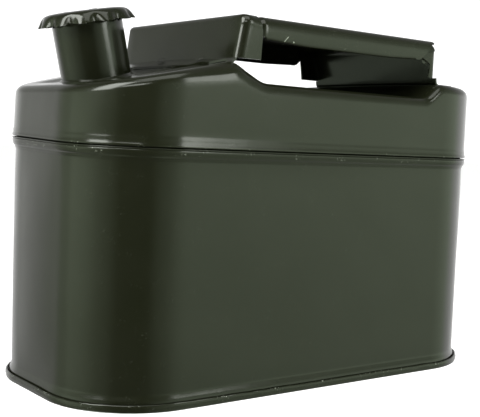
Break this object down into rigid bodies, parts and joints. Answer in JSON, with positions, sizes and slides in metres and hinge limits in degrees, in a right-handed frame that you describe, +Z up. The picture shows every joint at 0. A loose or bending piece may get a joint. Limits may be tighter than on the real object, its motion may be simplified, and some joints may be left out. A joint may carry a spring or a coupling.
{
  "type": "gallon gas can",
  "caption": "Sheet-steel gasoline can with rounded ends, a seamed upper shell with a saddle, a leaning filler neck, a fluted screw cap and a wide folded sheet handle.",
  "frame": {"origin": "middle of the base, on the ground", "axes": "+X along the can away from the filler neck, +Y across the can, +Z up"},
  "size_m": [0.246, 0.126, 0.1788],
  "materials": {
    "enamel": "glossy olive-green enamel",
    "bare_steel": "zinc-plated",
    "seal": "matt black"
  },
  "bodies": {
    "can": {"bottom_pan": "enamel", "base_weld": "enamel", "lower_body": "enamel", "upper_shell": "enamel", "seam_weld": "enamel", "filler_neck": "enamel", "neck_weld": "enamel", "handle_grip": "enamel", "handle_front_leg": "enamel", "handle_rear_leg": "enamel", "grip_spot_welds": "enamel", "foot_spot_welds": "enamel", "neck_thread_ring": "bare_steel"},
    "seal": {"cap_gasket": "seal"},
    "cap": {"cap_shell": "enamel", "cap_plug": "bare_steel", "cap_spot_welds": "enamel"}
  },
  "joints": [
    {"name": "cap_lift", "type": "slide", "parent": "can", "child": "seal", "axis": [-0.2164, 0, 0.9763], "range_m": [0, 0.014]},
    {"name": "cap_turn", "type": "hinge", "parent": "seal", "child": "cap", "pos_m": [-0.09863, 0, 0.17074], "axis": [-0.2164, 0, 0.9763], "range_deg": [0, 1261]}
  ],
  "couplings": [
    {"joint": "cap_turn", "follows": "cap_lift", "rad_per_m": 1570.8}
  ]
}
